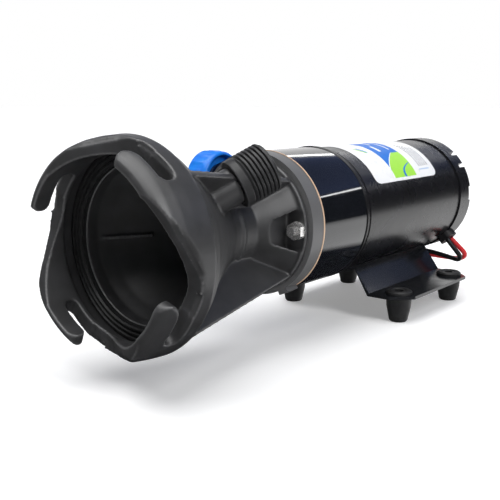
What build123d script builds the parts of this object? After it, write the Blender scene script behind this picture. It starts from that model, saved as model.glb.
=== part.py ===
from build123d import *
import math
import os

# Portable 12 V waste pump with a three-inch bayonet inlet, on a bent steel foot bracket.
# All sizes are millimetres. Every piece is drawn about the pump's own axis: +X runs from the
# inlet mouth to the rear of the motor, x = 0 is the front lip of the motor can, +Z is up.
# Clock angles are measured about that axis: 0 points to -Y, 90 points up, 180 points to +Y.
# place() then stands the pump on its feet, with the origin on the ground in the middle of them.

# ---- motor -------------------------------------------------------------------------------
CAN_R = 40.0
CAN_WALL = 4.0
CAN_LENGTH = 130.0
LIP_R = 41.6
CAP_R = 41.0
CAP_END = 146.0
CAP_WALL_END = 137.0
CAP_SKIRT = 3.2
SHAFT_R = 4.0
RUNNING = 0.04
TIE_R = 2.0
TIE_AT = 33.0
CORE_R = 26.0
CORE_FROM = 22.0
CORE_TO = 92.0
CORE_SLOTS = 12
MAGNET_INNER_R = 27.2
MAGNET_FROM = 18.0
MAGNET_TO = 96.0
COMMUTATOR_R = 11.0
COMMUTATOR_BARS = 12
LABEL_FROM = 20.0
LABEL_TO = 101.0
LABEL_LOW_ANGLE = 27.5
LABEL_THICK = 0.2

# ---- pump --------------------------------------------------------------------------------
HEAD_FRONT = -45.2
HEAD_R = 41.0
CHAMBER_R = 27.0
CHAMBER_END = -20.0
SEAL_WALL_END = -15.0
HEAD_REAR_WALL = -8.0
GASKET_FRONT = -46.0
RING_FRONT = -56.3
RING_R = 41.2
IMPELLER_R = 26.4
VANES = 6
BOLT_CIRCLE = 33.5
BOLT_R = 2.5
BOLT_HEAD_R = 5.2
BOLT_HEAD = 3.4
BOLT_STUD = 3.0
BOLT_LENGTH = 31.0
WASHER = 1.0
WASHER_R = 4.9
BOLT_ANGLES = (0, 90, 180, 270)

# ---- inlet housing -----------------------------------------------------------------------
MOUTH_FRONT = -175.9
SKIRT_BACK = -149.7
SKIRT_R = 54.5
HOOK_INNER_R = 45.0
SEAL_OUTER_R = 49.7
SLOT_FRONT = -165.9
SLOT_BACK = -158.6
RIM_LOW = -157.1
RIM_CUT = -184.0
SEAL_SEAT = -145.0
SEAL_FACE = -148.0
SEAL_INNER_R = 40.5
MOUTH_BORE_R = 40.0
MOUTH_BORE_END = -138.0
THROAT_R = 16.0
NECK_R = 21.4
FLANGE_R = 38.5
FLANGE_FRONT = -60.0
FLANGE_SEAT = -59.3
RIB_THICK = 3.0
RIB_ANGLES = (45, 135, 225, 315)
HOOK_TIP = 70.0
HOOK_TURNS = (0, 90, 180, 270)
OUTLINE_R = 50.0
INNER_RIB_THICK = 1.6
INNER_RIB_DROP = 1.8

# ---- flush port: male hose thread standing on the cone ------------------------------------
PORT_CLOCK = 45.0
PORT_LEAN = 39.6
PORT_START_X = -106.5
PORT_START_R = 40.0
PORT_LENGTH = 20.2
PORT_COLLAR = 4.6
PORT_COLLAR_R = 12.7
PORT_BORE_R = 7.5
THREAD_R = 13.1
THREAD_ROOT_R = 11.9
THREAD_PITCH = 2.2
THREADS = 7
PORT_BOSS_R = 9.6
PORT_CLEARANCE = 0.4

# ---- discharge port: tailpiece and swivel nut on the +Y side of the pump head --------------
OUTLET_X = -30.0
OUTLET_Z = 20.4
OUTLET_BOSS_Y = 43.5
TAIL_R = 9.5
TAIL_BORE_R = 7.5
TAIL_TIP_Y = 53.5
TAIL_FLANGE_R = 12.4
TAIL_FLANGE = 2.0
TAIL_BEAD_Y = 44.4
COLLAR_R = 11.0
NUT_BACK_Y = 46.5
NUT_WEB_Y = 49.0
NUT_FRONT_Y = 62.5
NUT_R = 17.9
NUT_BORE_R = 13.2
NUT_RELIEF_R = 13.8
NUT_RECESS_R = 13.8
NUT_RIBS = 18

# ---- bracket, feet and leads ---------------------------------------------------------------
FOOT_X = (41.0, 113.4)
FOOT_Y = 42.0
AXIS_HEIGHT = 71.5
FOOT_TOP = -51.0
SHEET = 2.0
BRACKET_FROM = 28.4
BRACKET_TO = 127.5
BEND_Y = 27.0
FLANGE_Z = -53.5
FLANGE_EDGE_Y = 54.0
CORNER_CUT = 13.0
SADDLE_HALF_ANGLE = 22.0
GROMMET_R = 8.5
GROMMET_NECK_R = 5.6
FOOT_HOLE_R = 3.0
LEAD_R = 1.7
TIP_R = 0.9
LEAD_CLOCK = -45.0

MIDDLE_X = (FOOT_X[0] + FOOT_X[1]) / 2.0


# ---- shared helpers ------------------------------------------------------------------------
def place(shape):
    """Moves a shape from the pump's axis frame to the frame at the feet."""
    return Pos(-MIDDLE_X, 0, AXIS_HEIGHT) * shape


def save(name, shape):
    export_step(place(shape), f"parts/{name}.step")


def across(x):
    """A plane across the axis at x, local x towards clock 0 and local y upwards."""
    return Plane(origin=(x, 0, 0), x_dir=(0, -1, 0), z_dir=(-1, 0, 0))


def disc(start, end, radius):
    return extrude(across(start) * Circle(radius), -(end - start))


def ring(start, end, outer, inner):
    return disc(start, end, outer) - disc(start - 1, end + 1, inner)


def turned(points):
    """A solid of revolution about the pump axis from (x, radius) points."""
    outline = make_face(Polyline(*points, close=True))
    return revolve(outline, Axis.X, 360)


def clock(shape, angle):
    """Turns a shape drawn at clock 0 to a clock angle."""
    return Rot(-angle, 0, 0) * shape


def at_clock(x, radius, angle):
    turn = math.radians(angle)
    return Vector(x, -radius * math.cos(turn), radius * math.sin(turn))


def rod(start, direction, length, radius):
    """A cylinder from a point along a direction."""
    return extrude(Plane(origin=start, z_dir=direction) * Circle(radius), length)


def sector(start, end, outer, inner, middle, half_width):
    """A part of a ring, half_width degrees either side of a clock angle."""
    steps = 12
    reach = outer * 1.6
    corners = [(0, 0)]
    for step in range(steps + 1):
        turn = math.radians(-half_width + 2 * half_width * step / steps)
        corners.append((reach * math.cos(turn), reach * math.sin(turn)))
    wedge = extrude(across(start) * make_face(Polyline(*corners, close=True)), -(end - start))
    return ring(start, end, outer, inner) & clock(wedge, middle)


def bolt_holes(body, start, end, radius):
    for angle in BOLT_ANGLES:
        body -= rod(at_clock(start, BOLT_CIRCLE, angle), (1, 0, 0), end - start, radius)
    return body


# ---- inlet housing -------------------------------------------------------------------------
def housing_outside():
    return turned([
        (MOUTH_FRONT, 0), (MOUTH_FRONT, 46.6), (-175.0, 48.6), (-173.0, 50.4), (-169.9, 51.9),
        (-164.4, 53.3), (-158.4, 54.0), (SKIRT_BACK, SKIRT_R), (-147.4, 52.8),
        (-142.0, 49.9), (-130.0, 41.2), (-113.0, 30.4), (-99.0, 22.9), (-93.0, NECK_R),
        (-91.5, NECK_R), (-91.2, NECK_R + 0.8), (-89.8, NECK_R + 0.8), (-89.5, NECK_R),
        (-80.0, NECK_R + 0.4), (FLANGE_FRONT, 36.2), (FLANGE_FRONT, FLANGE_R),
        (RING_FRONT, FLANGE_R), (RING_FRONT, 0)])


def housing_inside():
    return turned([
        (MOUTH_FRONT - 1, 0), (MOUTH_FRONT - 1, HOOK_INNER_R), (-156.0, HOOK_INNER_R),
        (-152.5, SEAL_OUTER_R), (SEAL_SEAT, SEAL_OUTER_R), (SEAL_SEAT, MOUTH_BORE_R),
        (MOUTH_BORE_END, MOUTH_BORE_R), (-130.0, 36.6), (-113.0, 26.0),
        (-97.0, THROAT_R + 1.4), (-94.0, THROAT_R), (-80.0, THROAT_R), (-63.0, 22.5),
        (RING_FRONT + 1, 22.5), (RING_FRONT + 1, 0)])


def radial_rib(angle):
    outline = [(-150.0, 54.1), (-57.4, 38.3), (-57.4, 25.0), (-80.0, 17.5), (-94.0, 17.5),
               (-113.0, 27.0), (-146.0, 47.0), (-150.0, 50.5)]
    blade = extrude(Plane.XZ * make_face(Polyline(*outline, close=True)), RIB_THICK / 2, both=True)
    return clock(Rot(90, 0, 0) * blade, angle)


def rim_cutter(outline, middle, turn, bevels):
    """Cuts the skirt along an outline of (clock angle, x) points, wider towards the outside."""
    corners = []
    for angle, x in outline:
        corners.append((x, OUTLINE_R * math.sin(math.radians(angle - middle))))
    face = make_face(Polyline(*corners, close=True))
    cutter = extrude(Plane.XZ.offset(40) * face, 20)
    for radius, amount in bevels:
        cutter += extrude(Plane.XZ.offset(radius) * offset(face, amount), 60 - radius)
    return clock(cutter, middle + turn)


def hook_ramp(turn):
    """The stretch of rim that climbs from its lowest level to the root of a hook."""
    outline = [
        (42, -177.0), (37, -175.2), (30, -173.2), (23, -170.9), (15, -167.9), (10, -165.4),
        (5, -163.3), (0, -161.2), (-5, -159.1), (-11, -157.6), (-17, RIM_LOW), (-17, RIM_CUT),
        (42, RIM_CUT)]
    return rim_cutter(outline, 12.0, turn, ((50.4, 1.2), (52.4, 2.6)))


def hook_tip_opening(turn):
    """The gap in front of a hook's rounded tip, down to the slot behind it."""
    half = (SLOT_FRONT - MOUTH_FRONT) / 2.0
    middle = (SLOT_FRONT + MOUTH_FRONT) / 2.0
    end = HOOK_TIP - 90.0
    reach = math.degrees(half / OUTLINE_R)
    outline = [(end + 4, RIM_LOW), (end - 7, SLOT_BACK + 0.6), (end - 7, SLOT_FRONT)]
    for step in range(13):
        turned_by = math.radians(90 - 15 * step)
        outline.append((end - reach + reach * math.cos(turned_by),
                        middle + half * math.sin(turned_by)))
    outline += [(end - reach, RIM_CUT), (end + 4, RIM_CUT)]
    return rim_cutter(outline, end, turn, ((51.4, 1.0),))


def hook_slot(turn):
    """The bayonet slot behind a hook, closed and rounded at its inner end."""
    half = (SLOT_BACK - SLOT_FRONT) / 2.0
    middle = (SLOT_BACK + SLOT_FRONT) / 2.0
    reach = math.degrees(half / OUTLINE_R)
    closed = HOOK_TIP - 28.0 + reach
    outline = [(HOOK_TIP - 2, SLOT_BACK), (HOOK_TIP - 2, SLOT_FRONT)]
    for step in range(13):
        turned_by = math.radians(-90 + 15 * step)
        outline.append((closed - reach * math.cos(turned_by),
                        middle + half * math.sin(turned_by)))
    return rim_cutter(outline, 56.0, turn, ((52.0, 0.9),))


def inner_rib():
    """A low moulding rib along the wall of the cone on the +Y side."""
    outline = [(-137.0, 42.0), (-136.2, 38.3), (-133.0, 36.0), (-113.0, 23.8), (-111.0, 27.0)]
    face = Plane.XY.offset(-INNER_RIB_DROP) * make_face(Polyline(*outline, close=True))
    return extrude(face, INNER_RIB_THICK / 2, both=True)


def bolt_pocket(angle):
    outline = [(-77.0, -4.5), (-77.0, 4.5), (FLANGE_SEAT, 12.0), (FLANGE_SEAT, -12.0)]
    wedge = extrude(Plane.XZ.offset(25.5) * make_face(Polyline(*outline, close=True)), 20)
    return clock(wedge, angle)


def port_frame():
    lean = math.radians(PORT_LEAN)
    out = at_clock(0, 1, PORT_CLOCK)
    start = at_clock(PORT_START_X, PORT_START_R, PORT_CLOCK)
    direction = Vector(math.cos(lean), 0, 0) + out * math.sin(lean)
    return start, direction


def inlet_housing():
    start, direction = port_frame()
    body = housing_outside()
    for angle in RIB_ANGLES:
        body += radial_rib(angle)
    body += rod(start - direction * 26, direction, 26, PORT_BOSS_R)
    body -= housing_inside()
    body -= rod(start - direction * 40, direction, 41, PORT_BORE_R)
    body -= rod(start, direction, 2 * PORT_LENGTH, THREAD_R + PORT_CLEARANCE)
    for turn in HOOK_TURNS:
        body -= hook_ramp(turn)
        body -= hook_tip_opening(turn)
        body -= hook_slot(turn)
    for angle in BOLT_ANGLES:
        body -= bolt_pocket(angle)
    body = bolt_holes(body, -75, RING_FRONT + 1, BOLT_R + 0.2)
    return body + inner_rib()


def bayonet_seal():
    """Flat rubber ring with three raised sealing ridges."""
    points = [(SEAL_SEAT, SEAL_INNER_R), (SEAL_SEAT, SEAL_OUTER_R)]
    points += [(SEAL_FACE + 1.0, SEAL_OUTER_R)]
    for crest in (47.6, 45.0, 42.4):
        points += [(SEAL_FACE + 1.0, crest + 1.0), (SEAL_FACE, crest + 0.4)]
        points += [(SEAL_FACE, crest - 0.4), (SEAL_FACE + 1.0, crest - 1.0)]
    points += [(SEAL_FACE + 1.0, SEAL_INNER_R)]
    return turned(points)


def flush_port():
    """Smooth collar and male hose thread, bored through."""
    start, direction = port_frame()
    points = [(PORT_BORE_R, 0), (PORT_COLLAR_R, 0), (PORT_COLLAR_R, PORT_COLLAR - 0.6)]
    points += [(THREAD_ROOT_R, PORT_COLLAR)]
    for count in range(THREADS):
        base = PORT_COLLAR + THREAD_PITCH * count
        points += [(THREAD_ROOT_R, base + 0.45), (THREAD_R, base + 0.95)]
        points += [(THREAD_R, base + 1.35), (THREAD_ROOT_R, base + 1.85)]
    points += [(THREAD_ROOT_R, PORT_LENGTH), (PORT_BORE_R, PORT_LENGTH)]
    body = revolve(Plane.XZ * make_face(Polyline(*points, close=True)), Axis.Z, 360)
    return Plane(origin=start, z_dir=direction) * body


# ---- pump section --------------------------------------------------------------------------
def hex_bolts():
    """Four hexagon heads on studs that clamp housing and cutter ring to the pump head."""
    bolts = []
    for angle in BOLT_ANGLES:
        seat = at_clock(FLANGE_SEAT - WASHER, BOLT_CIRCLE, angle)
        hexagon = Plane(origin=seat, z_dir=(-1, 0, 0)) * RegularPolygon(BOLT_HEAD_R, 6)
        head = extrude(hexagon, BOLT_HEAD)
        stud = rod(seat, (-1, 0, 0), BOLT_HEAD + BOLT_STUD, BOLT_R)
        shank = rod(seat, (1, 0, 0), BOLT_LENGTH, BOLT_R)
        bolts.append(head + stud + shank)
    return Compound(children=bolts)


def spring_washers():
    washers = []
    for angle in BOLT_ANGLES:
        seat = at_clock(FLANGE_SEAT - WASHER, BOLT_CIRCLE, angle)
        washers.append(rod(seat, (1, 0, 0), WASHER, WASHER_R) - rod(seat, (1, 0, 0), WASHER, BOLT_R + 0.1))
    return Compound(children=washers)


def cutter_ring():
    body = ring(RING_FRONT, GASKET_FRONT, RING_R, 24.0)
    body += sector(RING_FRONT, GASKET_FRONT, RING_R + 2.3, RING_R - 1, -60.5, 4.2)
    body -= disc(-48.6, GASKET_FRONT + 1, 28.0)
    return bolt_holes(body, RING_FRONT - 1, GASKET_FRONT + 1, BOLT_R + 0.2)


def cutter_plate():
    """Steel plate with six ports that the cutter sweeps across."""
    body = ring(-48.6, GASKET_FRONT, 28.0, 5.2)
    for count in range(6):
        body -= rod(at_clock(-50, 16.5, 30 + 60 * count), (1, 0, 0), 6, 5.0)
    return body


def gasket():
    body = ring(GASKET_FRONT, HEAD_FRONT, RING_R + 0.3, 28.4)
    return bolt_holes(body, GASKET_FRONT - 1, HEAD_FRONT + 1, BOLT_R + 0.2)


def cutter_blade():
    arms = extrude(across(-53.6) * Rectangle(42, 8), -3.0)
    body = arms + disc(-53.6, -49.4, 7.5)
    return body - disc(-55, -48, SHAFT_R)


def cutter_nut():
    body = extrude(across(-58.6) * RegularPolygon(6.6, 6), -5.0)
    return body - disc(-60, -50, SHAFT_R)


def flex_impeller():
    """Moulded rubber impeller: a hub with six beaded vanes."""
    body = disc(-44.6, CHAMBER_END - 0.6, 12.0)
    length = CHAMBER_END - 0.6 + 44.6
    for count in range(VANES):
        vane = Pos(17.8, 0) * Rectangle(13.6, 3.0) + Pos(IMPELLER_R - 2.2, 0) * Circle(2.2)
        body += clock(extrude(across(-44.6) * vane, -length), 60 * count)
    return body - disc(-50, -10, 7.0)


def impeller_hub():
    return ring(-44.6, CHAMBER_END - 0.6, 7.0, SHAFT_R)


def pump_head():
    """Glossy moulded head: impeller chamber in front, bearing wall behind."""
    body = disc(HEAD_FRONT, 0, HEAD_R)
    body += rod((OUTLET_X, 15, OUTLET_Z), (0, 1, 0), OUTLET_BOSS_Y - 15, 12.2) \
        - disc(HEAD_FRONT - 20, HEAD_FRONT, 70)
    body -= disc(HEAD_FRONT - 1, CHAMBER_END, CHAMBER_R)
    body -= disc(CHAMBER_END - 1, SEAL_WALL_END, 9.0)
    body -= disc(SEAL_WALL_END, HEAD_REAR_WALL, 26.0)
    body -= disc(HEAD_REAR_WALL - 1, 1, 11.0)
    body -= rod((OUTLET_X, 8, OUTLET_Z), (0, 1, 0), OUTLET_BOSS_Y, TAIL_BORE_R - 3.5)
    body -= rod((OUTLET_X, OUTLET_BOSS_Y - 9, OUTLET_Z), (0, 1, 0), 20, TAIL_R)
    body = bolt_holes(body, HEAD_FRONT - 1, -26.0, BOLT_R + 0.1)
    for angle in (90, 270):
        body -= rod(at_clock(-9.0, TIE_AT, angle), (1, 0, 0), 10, TIE_R)
    return body


def shaft_seal():
    return ring(CHAMBER_END, SEAL_WALL_END, 9.0, SHAFT_R + RUNNING)


def slinger():
    return ring(-12.6, -10.6, 12.0, SHAFT_R)


def outlet_tailpiece():
    """Glossy tube with a bead in front of the nut and a flange that carries it."""
    points = [
        (TAIL_BORE_R, OUTLET_BOSS_Y - 9), (TAIL_R, OUTLET_BOSS_Y - 9), (TAIL_R, TAIL_BEAD_Y),
        (COLLAR_R, TAIL_BEAD_Y + 0.6), (COLLAR_R, TAIL_BEAD_Y + 2.2), (TAIL_R, TAIL_BEAD_Y + 2.8),
        (TAIL_R, TAIL_TIP_Y - TAIL_FLANGE), (TAIL_FLANGE_R, TAIL_TIP_Y - TAIL_FLANGE),
        (TAIL_FLANGE_R, TAIL_TIP_Y), (TAIL_BORE_R, TAIL_TIP_Y)]
    return outlet_turned(points)


def outlet_turned(points):
    """A solid of revolution about the outlet's axis from (radius, y) points."""
    body = revolve(Plane.XZ * make_face(Polyline(*points, close=True)), Axis.Z, 360)
    return Plane(origin=(OUTLET_X, 0, OUTLET_Z), x_dir=(1, 0, 0), z_dir=(0, 1, 0)) * body


def swivel_nut():
    web = TAIL_TIP_Y - TAIL_FLANGE - 0.3
    body = outlet_turned([
        (NUT_R - 1.4, NUT_BACK_Y), (NUT_R - 0.4, NUT_BACK_Y + 1.2),
        (NUT_R - 0.4, NUT_FRONT_Y - 1), (NUT_R - 1.4, NUT_FRONT_Y), (NUT_BORE_R, NUT_FRONT_Y),
        (NUT_BORE_R, TAIL_TIP_Y + 2.5), (NUT_RELIEF_R, TAIL_TIP_Y + 2.5), (NUT_RELIEF_R, web),
        (TAIL_R + 0.06, web), (TAIL_R + 0.06, NUT_WEB_Y), (NUT_RECESS_R, NUT_WEB_Y),
        (NUT_RECESS_R, NUT_BACK_Y)])
    frame = Plane(origin=(OUTLET_X, NUT_BACK_Y + 2, OUTLET_Z), x_dir=(1, 0, 0), z_dir=(0, 1, 0))
    for count in range(NUT_RIBS):
        bar = Rot(0, 0, 360 / NUT_RIBS * count) * Pos(NUT_R - 0.7, 0) * Rectangle(1.4, 2.2)
        body += extrude(frame * bar, NUT_FRONT_Y - NUT_BACK_Y - 4)
    return body


def nut_washer():
    return outlet_turned([
        (8.6, TAIL_TIP_Y), (NUT_BORE_R - 0.5, TAIL_TIP_Y),
        (NUT_BORE_R - 0.5, TAIL_TIP_Y + 2.0), (8.6, TAIL_TIP_Y + 2.0)])


# ---- motor ---------------------------------------------------------------------------------
def motor_can():
    inner = CAN_R - CAN_WALL
    return turned([
        (0, inner), (0, LIP_R - 0.5), (0.5, LIP_R), (1.6, LIP_R), (2.1, LIP_R - 0.5), (2.1, CAN_R),
        (5.6, CAN_R), (5.9, CAN_R + 0.5), (6.5, CAN_R + 0.5), (6.8, CAN_R),
        (CAN_LENGTH, CAN_R), (CAN_LENGTH, inner)])


def can_with_grommet_slot():
    return motor_can() - rod(at_clock(134, 30, LEAD_CLOCK), at_clock(0, 1, LEAD_CLOCK), 15, 6.5)


def motor_label():
    """Thin wrap label whose straight lower edges run along the can."""
    middle = 90.0
    half = 90.0 - LABEL_LOW_ANGLE
    return sector(LABEL_FROM, LABEL_TO, CAN_R + LABEL_THICK, CAN_R, middle, half)


def magnets():
    pair = []
    for angle in (0, 180):
        pair.append(sector(MAGNET_FROM, MAGNET_TO, CAN_R - CAN_WALL, MAGNET_INNER_R, angle, 66))
    return Compound(children=pair)


def armature_shaft():
    return disc(-60.0, CAP_WALL_END - 1.0, SHAFT_R)


def armature_core():
    body = ring(CORE_FROM, CORE_TO, CORE_R, SHAFT_R)
    for count in range(CORE_SLOTS):
        slot = Pos(19.5, 0) * Rectangle(7.0, 5.0) + Pos(24.5, 0) * Rectangle(6.0, 2.0)
        cutter = extrude(across(CORE_FROM - 1) * slot, -(CORE_TO - CORE_FROM + 2))
        body -= clock(cutter, 360 / CORE_SLOTS * count)
    return body


def armature_winding():
    """Copper wire: a bundle in every slot, joined by rounded end turns."""
    front = turned([
        (CORE_FROM, 9), (CORE_FROM, 23), (CORE_FROM - 6, 24), (CORE_FROM - 10, 21),
        (CORE_FROM - 12, 15), (CORE_FROM - 10, 9)])
    back = turned([
        (CORE_TO, 9), (CORE_TO, 23), (CORE_TO + 5, 24), (CORE_TO + 8, 20), (CORE_TO + 8, 12),
        (CORE_TO + 6, 9)])
    body = front + back
    for count in range(CORE_SLOTS):
        bundle = Pos(19.5, 0) * Rectangle(6.6, 4.6)
        length = CORE_TO - CORE_FROM + 2
        body += clock(extrude(across(CORE_FROM - 1) * bundle, -length), 360 / CORE_SLOTS * count)
    return body


def commutator():
    body = ring(103.0, 118.0, COMMUTATOR_R, SHAFT_R)
    for count in range(COMMUTATOR_BARS):
        groove = Pos(COMMUTATOR_R, 0) * Rectangle(1.6, 0.6)
        body -= clock(extrude(across(102.0) * groove, -17.0), 360 / COMMUTATOR_BARS * (count + 0.5))
    return body


def front_bearing():
    return ring(HEAD_REAR_WALL, 0, 11.0, SHAFT_R + RUNNING)


def rear_bearing():
    return ring(CAN_LENGTH, CAP_WALL_END - 1.5, 9.0, SHAFT_R + RUNNING)


def brush_plate():
    """Insulating plate between can and end cap, with the shaft passing through it."""
    body = ring(120.0, 123.0, CAN_R - CAN_WALL, 14.0)
    for angle in (90, 270):
        body -= rod(at_clock(119, TIE_AT, angle), (1, 0, 0), 6, TIE_R + 0.3)
    return body


def brush_box(angle):
    body = Pos(112.0, 0, -21.5) * Box(16.0, 9.0, 16.0)
    body -= Pos(110.5, 0, -21.5) * Box(10.0, 6.0, 17.0)
    return clock(Rot(90, 0, 0) * body, angle + 180)


def brush_boxes():
    return Compound(children=[brush_box(angle) for angle in (0, 180)])


def brushes():
    blocks = []
    for angle in (0, 180):
        block = Pos(110.5, 0, -17.3) * Box(10.0, 6.0, 12.0)
        blocks.append(clock(Rot(90, 0, 0) * block, angle + 180) - disc(100, 121, COMMUTATOR_R + 0.05))
    return Compound(children=blocks)


def brush_springs():
    springs = []
    for angle in (0, 180):
        coil = Pos(110.5, 0, -26.3) * Cylinder(2.2, 6.0)
        springs.append(clock(Rot(90, 0, 0) * coil, angle + 180))
    return Compound(children=springs)


def end_cap():
    """Rear cover with a bearing seat and a notched skirt that stands past its wall."""
    body = disc(CAN_LENGTH, CAP_END, CAP_R)
    body -= disc(CAP_WALL_END, CAP_END + 1, CAP_R - CAP_SKIRT)
    body += disc(CAP_WALL_END, CAP_WALL_END + 2.5, 14.0)
    body -= disc(CAN_LENGTH - 1, CAP_WALL_END - 1.5, 9.0)
    body -= disc(CAN_LENGTH - 1, CAP_WALL_END - 0.5, SHAFT_R + 0.6)
    for angle in (33.0, 48.0, 135.0, 150.0, 213.0, 228.0):
        notch = Pos(CAP_END - 3.2, 0, 0) * Box(9.0, 3.2, 14.0)
        body -= clock(Rot(90, 0, 0) * Pos(0, 0, -CAP_R) * notch, angle + 180)
    for angle in (3.0, 183.0):
        body -= sector(CAP_END - 2.2, CAP_END + 1, CAP_R + 1, CAP_R - 6, angle, 7.0)
    body -= rod(at_clock(134, 30, LEAD_CLOCK), at_clock(0, 1, LEAD_CLOCK), 15, 6.5)
    for angle in (90, 270):
        body -= rod(at_clock(CAN_LENGTH - 1, TIE_AT, angle), (1, 0, 0), 10, TIE_R)
    return body


def tie_bolts():
    """Two long bolts that draw the end cap and the can onto the pump head."""
    bolts = []
    for angle in (90, 270):
        shank = rod(at_clock(-8.0, TIE_AT, angle), (1, 0, 0), CAP_WALL_END + 8.0, TIE_R)
        head = rod(at_clock(CAP_WALL_END, TIE_AT, angle), (1, 0, 0), 3.0, 3.6)
        bolts.append(shank + head)
    return Compound(children=bolts)


def lead_grommet():
    """Rubber bush in the seam between can and end cap; the leads leave its outer face."""
    out = at_clock(0, 1, LEAD_CLOCK)
    body = rod(at_clock(134, 30.2, LEAD_CLOCK), out, 14.3, 6.5)
    body -= disc(120, 128, 100)
    body &= disc(128, 141, 60)
    return body


# ---- bracket and feet ----------------------------------------------------------------------
def base_bracket():
    """One bent sheet: a saddle under the can, two slanting legs and two flanges."""
    outer = CAN_R + SHEET
    half = math.radians(SADDLE_HALF_ANGLE)
    low = FLANGE_Z - SHEET
    top = [(CAN_R * math.sin(half), -CAN_R * math.cos(half)), (0, -CAN_R)]
    base = [(outer * math.sin(half), -outer * math.cos(half)), (0, -outer)]
    edges = ThreePointArc((-top[0][0], top[0][1]), top[1], top[0])
    edges += Line(top[0], (BEND_Y, FLANGE_Z))
    edges += Line((BEND_Y, FLANGE_Z), (FLANGE_EDGE_Y, FLANGE_Z))
    edges += Line((FLANGE_EDGE_Y, FLANGE_Z), (FLANGE_EDGE_Y, low))
    edges += Line((FLANGE_EDGE_Y, low), (BEND_Y - 1.2, low))
    edges += Line((BEND_Y - 1.2, low), base[0])
    edges += ThreePointArc(base[0], base[1], (-base[0][0], base[0][1]))
    edges += Line((-base[0][0], base[0][1]), (-BEND_Y + 1.2, low))
    edges += Line((-BEND_Y + 1.2, low), (-FLANGE_EDGE_Y, low))
    edges += Line((-FLANGE_EDGE_Y, low), (-FLANGE_EDGE_Y, FLANGE_Z))
    edges += Line((-FLANGE_EDGE_Y, FLANGE_Z), (-BEND_Y, FLANGE_Z))
    edges += Line((-BEND_Y, FLANGE_Z), (-top[0][0], top[0][1]))
    profile = Plane(origin=(BRACKET_FROM, 0, 0), x_dir=(0, 1, 0), z_dir=(1, 0, 0)) * make_face(edges)
    body = extrude(profile, BRACKET_TO - BRACKET_FROM)
    for side in (-1, 1):
        for corner, inward in ((BRACKET_FROM, 1), (BRACKET_TO, -1)):
            cut = [(corner - inward, side * (FLANGE_EDGE_Y + 1)),
                   (corner + inward * CORNER_CUT, side * (FLANGE_EDGE_Y + 1)),
                   (corner - inward, side * (FLANGE_EDGE_Y - CORNER_CUT))]
            body -= extrude(Plane.XY.offset(low - 5) * make_face(Polyline(*cut, close=True)), 12)
    for x in FOOT_X:
        for side in (-1, 1):
            body -= rod((x, side * FOOT_Y, low - 1), (0, 0, 1), SHEET + 2, GROMMET_NECK_R)
    for x in (52.0, 103.0):
        body -= rod((x, 0, -CAN_R - 4), (0, 0, 1), 6, 2.1)
    return body


def bracket_screws():
    """Two countersunk screws up through the saddle into the can."""
    screws = []
    for x in (52.0, 103.0):
        shank = rod((x, 0, -CAN_R - SHEET), (0, 0, 1), SHEET - 0.05, 2.0)
        head = rod((x, 0, -CAN_R - SHEET - 2.0), (0, 0, 1), 2.0, 4.0)
        screws.append(shank + head)
    return Compound(children=screws)


def rubber_feet():
    """Four moulded grommet feet, each gripping the flange in a groove."""
    low = FLANGE_Z - SHEET
    points = [
        (FOOT_HOLE_R, -AXIS_HEIGHT), (5.2, -AXIS_HEIGHT), (6.0, -AXIS_HEIGHT + 0.8),
        (7.9, -61.5), (8.3, low), (GROMMET_NECK_R, low), (GROMMET_NECK_R, FLANGE_Z),
        (GROMMET_R, FLANGE_Z), (GROMMET_R, FOOT_TOP - 0.9), (GROMMET_R - 1.1, FOOT_TOP),
        (5.0, FOOT_TOP), (4.4, FOOT_TOP - 0.5), (FOOT_HOLE_R, FOOT_TOP - 0.5)]
    foot = revolve(Plane.XZ * make_face(Polyline(*points, close=True)), Axis.Z, 360)
    feet = [Pos(x, side * FOOT_Y, 0) * foot for x in FOOT_X for side in (-1, 1)]
    return Compound(children=feet)


# ---- leads -----------------------------------------------------------------------------------
RED_ROUTE = [
    (137.0, -31.5, -31.5), (140.5, -37.0, -38.0), (146.0, -40.5, -44.5), (149.5, -34.0, -49.0),
    (149.0, -20.0, -48.6), (146.0, -6.0, -47.6), (143.0, 8.0, -47.2), (139.5, 20.0, -48.2),
    (134.5, 27.5, -50.3), (128.0, 30.0, -51.75), (58.0, 30.0, -51.75)]
BLACK_ROUTE = [
    (131.2, -31.5, -31.5), (133.0, -36.5, -38.0), (136.5, -40.0, -44.0), (140.0, -37.5, -48.0),
    (142.0, -27.0, -46.6), (141.5, -13.0, -44.2), (139.5, 2.0, -43.6), (136.5, 14.0, -44.6),
    (132.5, 22.0, -46.4), (127.0, 27.5, -48.0), (117.0, 30.0, -48.15), (106.0, 31.0, -48.2),
    (98.5, 35.0, -48.8), (91.0, 36.5, -51.1), (82.0, 37.0, -51.75), (66.0, 36.5, -51.75)]


def corner_radii(route):
    """Each corner's largest arc: 0.45 of its shorter run over the tangent of half its turn."""
    radii = []
    for before, here, after in zip(route, route[1:], route[2:]):
        first = Vector(*here) - Vector(*before)
        second = Vector(*after) - Vector(*here)
        turn = math.radians(first.get_angle(second))
        radii.append(0.45 * min(first.length, second.length) / math.tan(turn / 2))
    return radii


def lead(name, route):
    radii = corner_radii(route)
    print(name, "corner radii", [round(radius, 1) for radius in radii])
    path = FilletPolyline(*route, radius=radii)
    tube = sweep(Plane(origin=path @ 0, z_dir=path % 0) * Circle(LEAD_R), path=path)
    expected = math.pi * LEAD_R ** 2 * path.length
    print(name, "length", round(path.length, 1), "volume ratio", round(tube.volume / expected, 4))
    return tube


def bare_tip(route):
    end = Vector(*route[-1])
    along = (end - Vector(*route[-2])).normalized()
    return rod(end, along, 7.0, TIP_R)


# ---- the whole pump ----------------------------------------------------------------------------
os.makedirs("parts", exist_ok=True)

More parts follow.
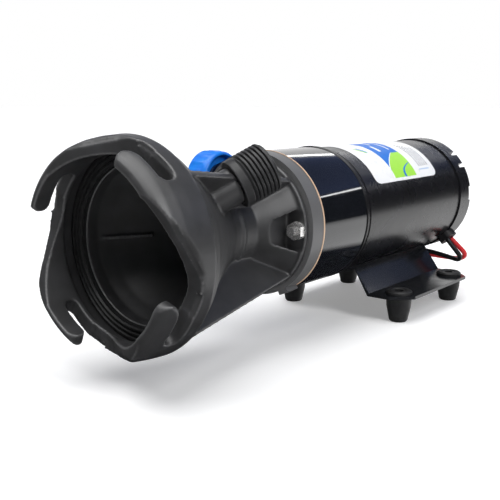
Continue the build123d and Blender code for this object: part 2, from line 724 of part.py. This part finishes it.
save("inlet_housing", inlet_housing())
save("bayonet_seal", bayonet_seal())
save("flush_port", flush_port())
save("hex_bolts", hex_bolts())
save("spring_washers", spring_washers())
save("cutter_ring", cutter_ring())
save("cutter_plate", cutter_plate())
save("ring_gasket", gasket())
save("cutter_blade", cutter_blade())
save("cutter_nut", cutter_nut())
save("flex_impeller", flex_impeller())
save("impeller_hub", impeller_hub())
save("pump_head", pump_head())
save("shaft_seal", shaft_seal())
save("slinger", slinger())
save("outlet_tailpiece", outlet_tailpiece())
save("swivel_nut", swivel_nut())
save("nut_washer", nut_washer())
save("motor_can", can_with_grommet_slot())
save("motor_label", motor_label())
save("magnets", magnets())
save("armature_shaft", armature_shaft())
save("armature_core", armature_core())
save("armature_winding", armature_winding())
save("commutator", commutator())
save("front_bearing", front_bearing())
save("rear_bearing", rear_bearing())
save("brush_plate", brush_plate())
save("brush_boxes", brush_boxes())
save("brushes", brushes())
save("brush_springs", brush_springs())
save("end_cap", end_cap())
save("tie_bolts", tie_bolts())
save("lead_grommet", lead_grommet())
save("base_bracket", base_bracket())
save("bracket_screws", bracket_screws())
save("rubber_feet", rubber_feet())
save("lead_red", lead("lead_red", RED_ROUTE))
save("lead_black", lead("lead_black", BLACK_ROUTE))
save("lead_tips", Compound(children=[bare_tip(RED_ROUTE), bare_tip(BLACK_ROUTE)]))
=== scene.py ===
import math
import random

import bmesh
import bpy
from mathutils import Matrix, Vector

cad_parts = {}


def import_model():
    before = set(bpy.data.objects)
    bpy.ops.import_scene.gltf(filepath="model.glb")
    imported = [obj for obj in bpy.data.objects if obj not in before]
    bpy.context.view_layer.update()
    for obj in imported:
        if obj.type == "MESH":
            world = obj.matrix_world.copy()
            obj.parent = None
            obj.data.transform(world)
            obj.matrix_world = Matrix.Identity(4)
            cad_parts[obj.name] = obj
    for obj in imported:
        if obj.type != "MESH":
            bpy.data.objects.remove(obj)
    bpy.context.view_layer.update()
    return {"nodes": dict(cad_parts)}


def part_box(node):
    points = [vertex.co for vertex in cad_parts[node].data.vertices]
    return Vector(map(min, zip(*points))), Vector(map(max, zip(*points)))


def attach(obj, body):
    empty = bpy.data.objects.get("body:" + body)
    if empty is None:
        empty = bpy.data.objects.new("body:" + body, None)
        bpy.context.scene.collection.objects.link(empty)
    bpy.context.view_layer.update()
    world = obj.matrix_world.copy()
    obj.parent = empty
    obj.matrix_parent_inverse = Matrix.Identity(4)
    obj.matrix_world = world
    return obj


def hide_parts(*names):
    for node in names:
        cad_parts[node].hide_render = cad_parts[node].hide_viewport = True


# Looks of the portable waste pump. Lengths are written in millimetres and scaled by MM.
# "Along" is the distance behind the motor can's front lip on the pump axis, and a clock
# angle is measured about that axis: 0 points to -Y, 90 points up, 180 points to +Y.

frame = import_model()
MM = 0.001

# ---- places read from the frame ----------------------------------------------------------
CAN_LOW, CAN_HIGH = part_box("motor_can")
GASKET_LOW, GASKET_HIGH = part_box("ring_gasket")
NUT_LOW, NUT_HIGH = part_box("swivel_nut")
FEET_LOW, FEET_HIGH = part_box("rubber_feet")

LIP_X = CAN_LOW[0]
AXIS_Z = (GASKET_LOW[2] + GASKET_HIGH[2]) / 2
CAN_R = 40.0


def at(along, radius, clock):
    turn = math.radians(clock)
    return Vector((LIP_X + along * MM, -radius * math.cos(turn) * MM,
                   AXIS_Z + radius * math.sin(turn) * MM))


# ---- mesh helpers ------------------------------------------------------------------------
def add_mesh(name, points, faces, material, smooth_angle=35):
    mesh = bpy.data.meshes.new(name)
    mesh.from_pydata([tuple(point) for point in points], [], faces)
    mesh.validate()
    mesh.shade_smooth()
    mesh.set_sharp_from_angle(angle=math.radians(smooth_angle))
    mesh.materials.append(material)
    piece = bpy.data.objects.new(name, mesh)
    bpy.context.collection.objects.link(piece)
    return piece


def put(piece, body, slot, *nodes):
    """Rides a piece on its body and hides the CAD nodes it stands for; the slot argument is not
    used.
    """
    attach(piece, body)
    if nodes:
        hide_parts(*nodes)
    return piece


def soften(piece, width, segments=3, angle=30):
    bevel = piece.modifiers.new("soft edges", "BEVEL")
    bevel.width = width * MM
    bevel.segments = segments
    bevel.limit_method = "ANGLE"
    bevel.angle_limit = math.radians(angle)
    bevel.harden_normals = True
    return piece


def basis(direction):
    along = Vector(direction).normalized()
    helper = Vector((0, 0, 1)) if abs(along.z) < 0.9 else Vector((0, 1, 0))
    side = along.cross(helper).normalized()
    return along, side, along.cross(side)


def lathe(name, outline, material, start, direction, turns):
    """A closed outline of (along, radius) points turned about an axis."""
    along, side, up = basis(direction)
    points = []
    for step in range(turns):
        turn = 2 * math.pi * step / turns
        out = side * math.cos(turn) + up * math.sin(turn)
        points += [start + along * (a * MM) + out * (r * MM) for a, r in outline]
    count = len(outline)
    faces = []
    for step in range(turns):
        here = step * count
        there = (step + 1) % turns * count
        for k in range(count):
            after = (k + 1) % count
            faces.append((here + k, here + after, there + after, there + k))
    piece = add_mesh(name, points, faces, material)
    fix_normals(piece)
    return piece


def fix_normals(piece):
    work = bmesh.new()
    work.from_mesh(piece.data)
    bmesh.ops.recalc_face_normals(work, faces=work.faces)
    work.to_mesh(piece.data)
    work.free()


# ---- materials ---------------------------------------------------------------------------
class Surface:
    """A Principled material whose colour, roughness and bump vary in object space."""

    def __init__(self, name, colour, rough, metallic=0.0, spec=0.5):
        self.material = bpy.data.materials.new(name)
        self.material.use_nodes = True
        self.nodes = self.material.node_tree.nodes
        self.links = self.material.node_tree.links
        self.shader = self.nodes["Principled BSDF"]
        self.shader.inputs["Base Color"].default_value = (*colour, 1)
        self.shader.inputs["Roughness"].default_value = rough
        self.shader.inputs["Metallic"].default_value = metallic
        self.shader.inputs["Specular IOR Level"].default_value = spec
        self.colour = colour
        self.place = self.nodes.new("ShaderNodeTexCoord")
        self.height = None

    def noise(self, size_mm, detail=3.0):
        node = self.nodes.new("ShaderNodeTexNoise")
        node.inputs["Scale"].default_value = 1.0 / (size_mm * MM)
        node.inputs["Detail"].default_value = detail
        self.links.new(self.place.outputs["Object"], node.inputs["Vector"])
        return node.outputs["Fac"]

    def vary_colour(self, size_mm, other, low=0.35, high=0.65):
        """Mixes towards another colour in patches."""
        ramp = self.nodes.new("ShaderNodeValToRGB")
        ramp.color_ramp.elements[0].position = low
        ramp.color_ramp.elements[0].color = (*self.colour, 1)
        ramp.color_ramp.elements[1].position = high
        ramp.color_ramp.elements[1].color = (*other, 1)
        self.links.new(self.noise(size_mm), ramp.inputs["Fac"])
        self.links.new(ramp.outputs["Color"], self.shader.inputs["Base Color"])
        self.last_colour = ramp.outputs["Color"]
        return self

    def vary_rough(self, size_mm, low, high):
        span = self.nodes.new("ShaderNodeMapRange")
        span.inputs["From Min"].default_value = 0.3
        span.inputs["From Max"].default_value = 0.7
        span.inputs["To Min"].default_value = low
        span.inputs["To Max"].default_value = high
        self.links.new(self.noise(size_mm), span.inputs["Value"])
        self.links.new(span.outputs["Result"], self.shader.inputs["Roughness"])
        return self

    def worn_and_highlit_edges(self, colour, low=0.515, high=0.56):
        """Lightens convex edges: partly mould flash and handling wear, partly a painted highlight
        where light catches the edges.
        """
        shape = self.nodes.new("ShaderNodeNewGeometry")
        ramp = self.nodes.new("ShaderNodeValToRGB")
        ramp.color_ramp.elements[0].position = low
        ramp.color_ramp.elements[1].position = high
        mix = self.nodes.new("ShaderNodeMix")
        mix.data_type = "RGBA"
        self.links.new(shape.outputs["Pointiness"], ramp.inputs["Fac"])
        self.links.new(ramp.outputs["Color"], mix.inputs[0])
        self.links.new(self.last_colour, mix.inputs[6])
        mix.inputs[7].default_value = (*colour, 1)
        self.links.new(mix.outputs[2], self.shader.inputs["Base Color"])
        return self

    def bump(self, size_mm, strength, depth_mm=0.05, detail=2.0):
        node = self.nodes.new("ShaderNodeBump")
        node.inputs["Strength"].default_value = strength
        node.inputs["Distance"].default_value = depth_mm * MM
        self.links.new(self.noise(size_mm, detail), node.inputs["Height"])
        if self.height:
            self.links.new(self.height, node.inputs["Normal"])
        self.height = node.outputs["Normal"]
        self.links.new(self.height, self.shader.inputs["Normal"])
        return self

    def coat(self, weight, rough):
        self.shader.inputs["Coat Weight"].default_value = weight
        self.shader.inputs["Coat Roughness"].default_value = rough
        return self


def housing_plastic():
    look = Surface("housing plastic", (0.025, 0.025, 0.026), 0.44, spec=0.85)
    # The housing's convex edges are lightened: partly handling wear, partly a painted edge
    # highlight.
    look.vary_colour(9.0, (0.034, 0.034, 0.036)).worn_and_highlit_edges((0.11, 0.11, 0.112))
    return look.vary_rough(14.0, 0.42, 0.50).bump(0.9, 0.40, 0.06).bump(5.0, 0.05, 0.1).material


def thread_plastic():
    look = Surface("thread plastic", (0.014, 0.014, 0.015), 0.42)
    # The thread's convex edges are lightened: partly handling wear, partly a painted edge
    # highlight.
    look.vary_colour(4.0, (0.020, 0.020, 0.021)).worn_and_highlit_edges((0.06, 0.06, 0.062))
    return look.vary_rough(6.0, 0.42, 0.55).bump(0.35, 0.2, 0.04).material


def rubber(name, shade, rough):
    look = Surface(name, (shade, shade, shade * 1.05), rough, spec=0.35)
    look.vary_colour(3.0, (shade * 1.5, shade * 1.5, shade * 1.55))
    return look.vary_rough(5.0, rough - 0.06, rough + 0.06).bump(0.5, 0.3, 0.05).material


def gloss_black():
    look = Surface("gloss black", (0.006, 0.007, 0.009), 0.07, spec=0.6)
    look.vary_colour(30.0, (0.009, 0.010, 0.013)).vary_rough(12.0, 0.05, 0.09)
    return look.bump(6.0, 0.03, 0.05).coat(0.3, 0.03).material


def can_paint():
    look = Surface("satin black paint", (0.008, 0.008, 0.009), 0.27)
    look.vary_colour(25.0, (0.011, 0.011, 0.013)).vary_rough(18.0, 0.25, 0.30)
    return look.bump(1.6, 0.05, 0.02).material


def powder_coat():
    look = Surface("black powder coat", (0.009, 0.010, 0.012), 0.18)
    look.vary_colour(18.0, (0.013, 0.014, 0.017)).vary_rough(8.0, 0.16, 0.21)
    return look.bump(2.0, 0.05, 0.02).material


def steel(name, shade, rough, metallic=1.0):
    look = Surface(name, (shade, shade * 0.99, shade * 0.97), rough, metallic=metallic)
    look.vary_colour(1.2, (shade * 0.8, shade * 0.79, shade * 0.78))
    return look.vary_rough(0.8, rough * 0.7, rough * 1.4).bump(0.3, 0.15, 0.02).material


def blue_plastic():
    look = Surface("blue nylon", (0.008, 0.20, 0.86), 0.38)
    look.vary_colour(7.0, (0.012, 0.25, 0.92)).vary_rough(5.0, 0.32, 0.44)
    return look.bump(0.5, 0.15, 0.04).material


def pvc(name, colour, lighter):
    look = Surface(name, colour, 0.38)
    look.vary_colour(6.0, lighter).vary_rough(4.0, 0.33, 0.45)
    return look.bump(0.8, 0.12, 0.03).material


def film(name, colour, rough=0.3):
    look = Surface(name, colour, rough)
    shade = tuple(min(1.0, part * 0.96) for part in colour)
    return look.vary_colour(12.0, shade).vary_rough(15.0, rough - 0.05, rough + 0.05).bump(
        2.5, 0.05, 0.02).material


def plain_metal(name, colour, rough):
    look = Surface(name, colour, rough, metallic=1.0)
    look.vary_colour(1.5, tuple(part * 0.75 for part in colour))
    return look.vary_rough(1.0, rough * 0.7, rough * 1.3).bump(0.4, 0.2, 0.02).material


HOUSING = housing_plastic()
THREAD = thread_plastic()
SEAL = rubber("seal rubber", 0.012, 0.45)
FOOT = rubber("foot rubber", 0.017, 0.5)
GLOSS = gloss_black()
CAN_PAINT = can_paint()
POWDER = powder_coat()
STAINLESS = steel("stainless", 0.86, 0.20, 0.85)
SHAFT = steel("ground steel", 0.62, 0.28)
BLUE = blue_plastic()
GASKET = film("gasket edge", (0.72, 0.50, 0.34), 0.45)
WHITE = film("label white", (0.88, 0.89, 0.90))
RED_PVC = pvc("red insulation", (0.62, 0.012, 0.02), (0.72, 0.03, 0.035))
BLACK_PVC = pvc("black insulation", (0.012, 0.012, 0.013), (0.02, 0.02, 0.021))
COPPER = plain_metal("copper", (0.80, 0.38, 0.20), 0.3)
BRONZE = plain_metal("bronze", (0.62, 0.42, 0.20), 0.35)


# ---- camera, stage and light -------------------------------------------------------------
def camera():
    """A long lens low on the mouth's near side."""
    data = bpy.data.cameras.new("camera")
    data.sensor_width = 36.0
    data.lens = 56.6
    data.clip_start = 0.01
    lens = bpy.data.objects.new("camera", data)
    bpy.context.collection.objects.link(lens)
    lens.location = (LIP_X - 402.4 * MM, -280.2 * MM, AXIS_Z + 70.7 * MM)
    heading = math.radians(39.29)
    dip = math.radians(10.95)
    look = Vector((math.cos(dip) * math.cos(heading), math.cos(dip) * math.sin(heading),
                   -math.sin(dip)))
    lens.rotation_euler = look.to_track_quat("-Z", "Y").to_euler()
    bpy.context.scene.camera = lens
    bpy.context.scene.view_settings.view_transform = "Standard"


def floor():
    """A pale floor; gloss doesn't mirror it, as if it fell away in front of the lens."""
    half = 60.0
    below_feet = 0.0002
    points = [(-half, -half, 0), (half, -half, 0), (half, half, 0), (-half, half, 0)]
    look = Surface("pale floor", (0.90, 0.90, 0.90), 0.8, spec=0.1)
    look.vary_colour(300.0, (0.88, 0.88, 0.885))
    look.shader.inputs["Emission Color"].default_value = (1, 1, 1, 1)
    look.shader.inputs["Emission Strength"].default_value = 0.27
    plane = add_mesh("floor", points, [(0, 1, 2, 3)], look.material)
    plane.location.z = FEET_LOW[2] - below_feet
    plane.visible_glossy = False


def backdrop():
    """A white dome that only the lens sees; gloss still mirrors the world's bands."""
    segments, rings, radius = 48, 24, 12.0
    points = []
    for ring in range(rings + 1):
        rise = math.pi * (ring / rings - 0.5)
        for step in range(segments):
            turn = 2 * math.pi * step / segments
            points.append((radius * math.cos(rise) * math.cos(turn),
                           radius * math.cos(rise) * math.sin(turn), radius * math.sin(rise)))
    faces = []
    for ring in range(rings):
        for step in range(segments):
            after = (step + 1) % segments
            faces.append((ring * segments + step, ring * segments + after,
                          (ring + 1) * segments + after, (ring + 1) * segments + step))
    look = Surface("backdrop white", (0.0, 0.0, 0.0), 1.0, spec=0.0)
    look.shader.inputs["Emission Color"].default_value = (1, 1, 1, 1)
    look.shader.inputs["Emission Strength"].default_value = 1.0
    dome = add_mesh("backdrop", points, faces, look.material)
    dome.visible_glossy = False
    dome.visible_diffuse = False
    dome.visible_transmission = False
    dome.visible_shadow = False


def place_light(name, data, location, target):
    light = bpy.data.objects.new(name, data)
    bpy.context.collection.objects.link(light)
    light.location = location
    aim = Vector(target) - Vector(location)
    light.rotation_euler = aim.to_track_quat("-Z", "Y").to_euler()
    return light


def area_light(name, location, target, size, power, colour=(1, 1, 1)):
    data = bpy.data.lights.new(name, "AREA")
    data.shape = "RECTANGLE"
    data.size, data.size_y = size
    data.energy = power
    data.color = colour
    return place_light(name, data, location, target)


def sky(name, location, strength, angle):
    """A broad soft light that falls evenly on floor and pump."""
    data = bpy.data.lights.new(name, "SUN")
    data.energy = strength
    data.angle = math.radians(angle)
    place_light(name, data, location, (0, 0, 0))


def bands(nodes, links, source, stops):
    """A colour ramp over a direction's component, which runs from -1 to 1."""
    span = nodes.new("ShaderNodeMapRange")
    span.inputs["From Min"].default_value = -1.0
    links.new(source, span.inputs["Value"])
    ramp = nodes.new("ShaderNodeValToRGB")
    elements = ramp.color_ramp.elements
    elements[0].position = 0.0
    elements[0].color = (*stops[0][1], 1)
    elements[1].position = 1.0
    elements[1].color = (*stops[-1][1], 1)
    for height, colour in stops[1:-1]:
        elements.new((height + 1) / 2).color = (*colour, 1)
    links.new(span.outputs["Result"], ramp.inputs["Fac"])
    return ramp.outputs["Color"]


def world():
    """Light by direction: pale ahead of the lens, grey, navy and black bands to the side."""
    setting = bpy.data.worlds.new("studio")
    bpy.context.scene.world = setting
    setting.use_nodes = True
    nodes = setting.node_tree.nodes
    links = setting.node_tree.links
    place = nodes.new("ShaderNodeTexCoord")
    split = nodes.new("ShaderNodeSeparateXYZ")
    links.new(place.outputs["Generated"], split.inputs["Vector"])
    white, grey, dim = (1, 1, 1), (1.4, 1.4, 1.4), (0.5, 0.5, 0.5)
    black, navy = (0.01, 0.01, 0.012), (0.10, 0.14, 0.30)
    behind = bands(nodes, links, split.outputs["Z"], [
        (-1, black), (-0.32, black), (-0.25, dim), (-0.01, dim), (0.0, white), (0.46, white),
        (0.50, navy), (0.8, black), (1, black)])
    side = bands(nodes, links, split.outputs["Z"], [
        (-1, black), (-0.50, black), (-0.45, grey), (-0.12, grey), (-0.07, black),
        (0.33, black), (0.38, navy), (0.8, black), (1, black)])
    turn = bands(nodes, links, split.outputs["Y"], [
        (-1, (0, 0, 0)), (0.20, (0, 0, 0)), (0.28, white), (1, white)])
    mix = nodes.new("ShaderNodeMix")
    mix.data_type = "RGBA"
    links.new(turn, mix.inputs[0])
    links.new(side, mix.inputs[6])
    links.new(behind, mix.inputs[7])
    fore = bands(nodes, links, split.outputs["X"], [
        (-1, (0.12, 0.12, 0.12)), (-0.1, (0.12, 0.12, 0.12)), (0.2, white), (1, white)])
    shade = nodes.new("ShaderNodeMix")
    shade.data_type = "RGBA"
    shade.blend_type = "MULTIPLY"
    shade.inputs[0].default_value = 1.0
    links.new(mix.outputs[2], shade.inputs[6])
    links.new(fore, shade.inputs[7])
    links.new(shade.outputs[2], nodes["Background"].inputs["Color"])
    nodes["Background"].inputs["Strength"].default_value = 1.0


def lights():
    """One even sky, two narrow strips for the highlights and a softbox on the near side."""
    sky("sky", (-0.20, 0.05, 1.0), 2.9, 60)
    area_light("upper strip", (0.95, 0.23, 0.66), (0, -0.03, 0.09), (1.0, 0.03), 0.7)
    area_light("side strip", (0.88, -0.54, 0.49), (0, -0.04, 0.08), (0.14, 0.025), 0.08)
    area_light("left softbox", (-0.4, -1.2, 1.0), (-0.1, 0, 0.07), (0.5, 0.8), 10.0)


# ---- inlet housing -----------------------------------------------------------------------
def inlet_housing():
    """A copy of the CAD moulding with softly rounded edges, as a mould leaves them."""
    source = frame["nodes"]["inlet_housing"]
    piece = bpy.data.objects.new("inlet_moulding", source.data.copy())
    bpy.context.collection.objects.link(piece)
    piece.data.materials.clear()
    piece.data.materials.append(HOUSING)
    remesh = piece.modifiers.new("even skin", "REMESH")
    remesh.mode = "VOXEL"
    remesh.voxel_size = 0.75 * MM
    relax = piece.modifiers.new("rounded", "SMOOTH")
    relax.factor = 0.5
    relax.iterations = 4
    apply_all(piece)
    piece.data.shade_smooth()
    put(piece, "pump", "housing_black", "inlet_housing")


def apply_all(piece):
    graph = bpy.context.evaluated_depsgraph_get()
    done = bpy.data.meshes.new_from_object(piece.evaluated_get(graph))
    piece.modifiers.clear()
    piece.data = done


# ---- threads -----------------------------------------------------------------------------
def thread_mesh(name, origin, direction, length, root, crest, pitch, inner, lead_in, material):
    """A bored spigot with one helical ridge that fades in and out at its ends."""
    along, side, up = basis(direction)
    rings = int(length / pitch * 10)
    turns = 96
    points = []
    for row in range(rings + 1):
        a = length * row / rings
        for step in range(turns):
            phase = (a / pitch - step / turns) % 1.0
            ridge = max(0.0, min(1.0, (0.42 - abs(phase - 0.5)) / 0.18))
            fade = max(0.0, min(1.0, (a - lead_in) / pitch, (length - a) / (0.6 * pitch)))
            r = root + (crest - root) * ridge * fade
            turn = 2 * math.pi * step / turns
            out = side * math.cos(turn) + up * math.sin(turn)
            points.append(Vector(origin) + along * (a * MM) + out * (r * MM))
    for row in (rings, 0):
        a = length * row / rings
        for step in range(turns):
            turn = 2 * math.pi * step / turns
            out = side * math.cos(turn) + up * math.sin(turn)
            points.append(Vector(origin) + along * (a * MM) + out * (inner * MM))
    faces = []
    total = rings + 3
    for row in range(total):
        here = row * turns
        there = (row + 1) % total * turns
        for step in range(turns):
            after = (step + 1) % turns
            faces.append((here + step, here + after, there + after, there + step))
    piece = add_mesh(name, points, faces, material, 50)
    fix_normals(piece)
    return piece


def flush_port():
    """Plain collar and threaded spigot on the inlet cone."""
    direction = port_direction()
    start = at(-106.5, 40.0, 45.0)
    bore = 7.5
    collar = lathe("port_collar", [(0, bore), (0, 12.4), (0.4, 12.8), (4.0, 12.8), (4.5, 12.4),
                                   (4.5, bore)], THREAD, start, direction, 96)
    put(soften(collar, 0.3), "pump", "port_black")
    thread = thread_mesh("port_thread", start + direction * (4.4 * MM), direction, length=15.7,
                         root=11.7, crest=13.1, pitch=2.2, inner=bore, lead_in=0.3,
                         material=THREAD)
    put(thread, "pump", "port_black", "flush_port")


def port_direction():
    lean = math.radians(39.6)
    out = at(0, 1, 45.0) - at(0, 0, 45.0)
    return Vector((math.cos(lean), 0, 0)) + out.normalized() * math.sin(lean)


# ---- swivel nut and tailpiece ------------------------------------------------------------
def swivel_nut():
    """Ribbed nut with a rolled edge at each end and a thread inside."""
    centre = Vector(((NUT_LOW[0] + NUT_HIGH[0]) / 2, NUT_LOW[1], (NUT_LOW[2] + NUT_HIGH[2]) / 2))
    length = (NUT_HIGH[1] - NUT_LOW[1]) / MM
    ribs = 18
    turns = ribs * 10
    base, rise, bore, relief, web_r = 17.35, 0.5, 13.2, 13.7, 9.6
    profile = [(0.0, 0.93, 0), (0.5, 0.97, 0), (1.3, 1.0, 0), (4.0, 1.0, 0), (5.0, 1.0, 1),
               (length - 2.8, 1.0, 1), (length - 2.0, 1.0, 0.6), (length - 1.3, 1.0, 0),
               (length - 0.5, 0.97, 0), (length, 0.93, 0)]
    points = []
    for a, scale, ribbed in profile:
        for step in range(turns):
            phase = (step % 10) / 10
            bulge = max(0.0, math.cos(2 * math.pi * phase)) ** 0.6 * rise * ribbed
            r = base * scale + bulge
            turn = 2 * math.pi * step / turns
            points.append(centre + Vector((r * math.cos(turn), a, r * math.sin(turn))) * MM)
    inside = [(length, bore + 0.3), (length - 0.4, bore)]
    pitch = 2.2
    rows = 20
    for row in range(rows + 1):
        inside.append((length - 0.8 - 5.2 * row / rows, None))
    inside += [(9.5, bore), (9.5, relief), (4.8, relief), (4.8, web_r), (3.8, web_r),
               (3.8, 14.6), (0.4, 15.0), (0.0, 15.4)]
    for a, r in inside:
        for step in range(turns):
            turn = 2 * math.pi * step / turns
            here = r
            if r is None:
                phase = (a / pitch - step / turns) % 1.0
                here = bore - 0.9 * max(0.0, min(1.0, (0.4 - abs(phase - 0.5)) / 0.2))
            points.append(centre + Vector((here * math.cos(turn), a, here * math.sin(turn))) * MM)
    rings = len(profile) + len(inside)
    faces = []
    for row in range(rings):
        here = row * turns
        there = (row + 1) % rings * turns
        for step in range(turns):
            after = (step + 1) % turns
            faces.append((here + step, there + step, there + after, here + after))
    nut = add_mesh("swivel_nut_ribbed", points, faces, BLUE, 40)
    fix_normals(nut)
    put(nut, "swivel", "nut_blue", "swivel_nut")


# ---- label -------------------------------------------------------------------------------
def wrap(name, from_clock, to_clock, low, high, height, material, steps=48):
    """A film patch on the can between two clock angles; low and high give its edges along."""
    points = []
    for step in range(steps + 1):
        clock = from_clock + (to_clock - from_clock) * step / steps
        for row in range(2):
            radius = CAN_R + height - (0.06 if row else 0)
            points.append(at(low(clock), radius, clock))
            points.append(at(high(clock), radius, clock))
    faces = []
    for step in range(steps):
        a = 4 * step
        b = a + 4
        faces += [(a, a + 1, b + 1, b), (a + 2, b + 2, b + 3, a + 3), (a, b, b + 2, a + 2),
                  (a + 1, a + 3, b + 3, b + 1)]
    end = 4 * steps
    faces += [(0, 2, 3, 1), (end, end + 1, end + 3, end + 2)]
    piece = add_mesh(name, points, faces, material)
    fix_normals(piece)
    return put(piece, "pump", "label_white")


LABEL_FRONT = 20.0
LABEL_BACK = 101.0
LABEL_EDGE = 27.5
LABEL_CORNER = 5.0


def corner_inset(clock):
    """How far the label's rounded corners draw in at a clock angle."""
    arc = min(clock - LABEL_EDGE, 180 - LABEL_EDGE - clock) * math.pi / 180 * CAN_R
    if arc >= LABEL_CORNER:
        return 0.0
    return LABEL_CORNER - math.sqrt(max(0.0, LABEL_CORNER ** 2 - (LABEL_CORNER - arc) ** 2))


def label():
    """White wrap label with a two-colour band and grey rules; it carries no lettering."""
    sheet = wrap("label_film", LABEL_EDGE, 180 - LABEL_EDGE,
                 lambda clock: LABEL_FRONT + corner_inset(clock),
                 lambda clock: LABEL_BACK - corner_inset(clock), 0.20, WHITE, 160)
    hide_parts("motor_label")
    blue = film("label blue", (0.0, 0.165, 0.66), 0.45)
    lime = film("label lime", (0.37, 0.78, 0.07), 0.45)
    grey = film("label grey", (0.06, 0.06, 0.08))
    pale = film("label pale blue", (0.45, 0.58, 0.80))
    front, back = 45.0, 73.0

    def lime_front(clock):
        """The lime field's leading edge curves back as it rises."""
        rise = max(0.0, clock - 38.0) / 22.0
        return front + 18.0 * rise ** 1.6

    wrap("label_lime", 30.5, 60.5, lime_front, lambda clock: back, 0.24, lime)
    wrap("label_blue_top", 60.5, 118.0, lambda clock: front, lambda clock: back, 0.24, blue)
    wrap("label_blue_tip", 39.0, 60.5, lambda clock: front,
         lambda clock: max(front + 0.05, lime_front(clock) - 1.2), 0.24, blue)
    for start, end, place, wide in ((64, 76, 52, 3.0), (80, 100, 57, 2.4), (66, 90, 66, 1.6)):
        wrap(f"label_bar_{place}", start, end, lambda clock, p=place: p,
             lambda clock, p=place, w=wide: p + w, 0.27, WHITE)

    def arc_line(clock):
        return 59.0 + 14.0 * max(0.0, (clock - 33.0) / 12.5) ** 2.4

    wrap("label_arc", 30.5, 45.0, lambda clock: arc_line(clock) - 0.9,
         lambda clock: min(back, arc_line(clock) + 1.3), 0.28, blue)
    wrap("label_mark_lime", 64.0, 73.0, lambda clock: 28.5 + (73 - clock) * 0.75,
         lambda clock: 30.3 + (73 - clock) * 0.8, 0.24, lime, 16)
    wrap("label_mark_blue", 64.5, 74.0, lambda clock: 32.0 + (73 - clock) * 0.55,
         lambda clock: 34.4 + (73 - clock) * 0.5, 0.24, blue, 16)
    rules(grey)
    wrap("label_rule_blue", 35.3, 36.6, lambda clock: 80.5, lambda clock: 94.0, 0.24, pale, 4)


def rules(material):
    """Five columns of short grey rules that stand in for fine print."""
    draw = random.Random(4)
    for column in range(5):
        place = 82.5 + 2.9 * column
        clock = 39.5
        stop = 74.0 - 2.0 * column
        part = 0
        while clock < stop:
            run = draw.uniform(2.0, 6.0)
            wrap(f"label_rule_{column}_{part}", clock, min(stop, clock + run),
                 lambda c, p=place: p, lambda c, p=place: p + 0.9, 0.24, material, 4)
            clock += run + draw.uniform(0.7, 1.4)
            part += 1


# ---- leads -------------------------------------------------------------------------------
RED_ROUTE = [
    (137.0, -31.5, -31.5), (140.5, -37.0, -38.0), (146.0, -40.5, -44.5), (149.5, -34.0, -49.0),
    (149.0, -20.0, -48.6), (146.0, -6.0, -47.6), (143.0, 8.0, -47.2), (139.5, 20.0, -48.2),
    (134.5, 27.5, -50.3), (128.0, 30.0, -51.75), (104.0, 30.0, -51.75), (80.0, 30.0, -51.75),
    (58.0, 30.0, -51.75)]
BLACK_ROUTE = [
    (131.2, -31.5, -31.5), (133.0, -36.5, -38.0), (136.5, -40.0, -44.0), (140.0, -37.5, -48.0),
    (142.0, -27.0, -46.6), (141.5, -13.0, -44.2), (139.5, 2.0, -43.6), (136.5, 14.0, -44.6),
    (132.5, 22.0, -46.4), (127.0, 27.5, -48.0), (117.0, 30.0, -48.15), (106.0, 31.0, -48.2),
    (98.5, 35.0, -48.8), (91.0, 36.5, -51.1), (82.0, 37.0, -51.75), (66.0, 36.5, -51.75)]
LEAD_R = 1.7


def on_axis_frame(point):
    x, y, z = point
    return Vector((LIP_X + x * MM, y * MM, AXIS_Z + z * MM))


def lead(name, route, material, node):
    """A round insulated wire along a route."""
    data = bpy.data.curves.new(name, "CURVE")
    data.dimensions = "3D"
    data.resolution_u = 16
    data.bevel_depth = LEAD_R * MM
    data.bevel_resolution = 6
    data.use_fill_caps = True
    line = data.splines.new("NURBS")
    line.points.add(len(route) - 1)
    for knot, point in zip(line.points, route):
        knot.co = (*on_axis_frame(point), 1)
    line.order_u = 3
    line.use_endpoint_u = True
    data.materials.append(material)
    piece = bpy.data.objects.new(name, data)
    bpy.context.collection.objects.link(piece)
    return put(piece, "pump", node, node)


def leads():
    red = lead("red_lead", RED_ROUTE, RED_PVC, "lead_red")
    black = lead("black_lead", BLACK_ROUTE, BLACK_PVC, "lead_black")


# ---- materials for the CAD nodes that stay -----------------------------------------------
def paint(looks):
    for node, material in looks.items():
        piece = frame["nodes"][node]
        for slot in piece.material_slots:
            slot.material = material
        piece.data.set_sharp_from_angle(angle=math.radians(35))


def cad_finishes():
    paint({
        "bayonet_seal": SEAL, "hex_bolts": STAINLESS, "spring_washers": STAINLESS,
        "cutter_ring": HOUSING, "cutter_plate": SHAFT, "ring_gasket": GASKET,
        "cutter_blade": SHAFT, "cutter_nut": STAINLESS, "flex_impeller": SEAL,
        "impeller_hub": BRONZE, "pump_head": GLOSS, "shaft_seal": SEAL, "slinger": SEAL,
        "outlet_tailpiece": GLOSS, "nut_washer": SEAL, "motor_can": CAN_PAINT,
        "magnets": SHAFT, "armature_shaft": SHAFT, "armature_core": SHAFT,
        "armature_winding": COPPER, "commutator": COPPER, "front_bearing": BRONZE,
        "rear_bearing": BRONZE, "brush_plate": SEAL, "brush_boxes": BRONZE, "brushes": SEAL,
        "brush_springs": STAINLESS, "end_cap": CAN_PAINT, "tie_bolts": STAINLESS,
        "lead_grommet": FOOT, "base_bracket": POWDER, "bracket_screws": STAINLESS,
        "rubber_feet": FOOT, "lead_tips": COPPER})
    for node, width in (("hex_bolts", 0.25), ("base_bracket", 0.5), ("end_cap", 0.4),
                        ("cutter_ring", 0.3), ("pump_head", 0.4), ("rubber_feet", 0.5)):
        soften(frame["nodes"][node], width)


camera()
leads()
world()
lights()
floor()
backdrop()
inlet_housing()
flush_port()
swivel_nut()
label()
cad_finishes()
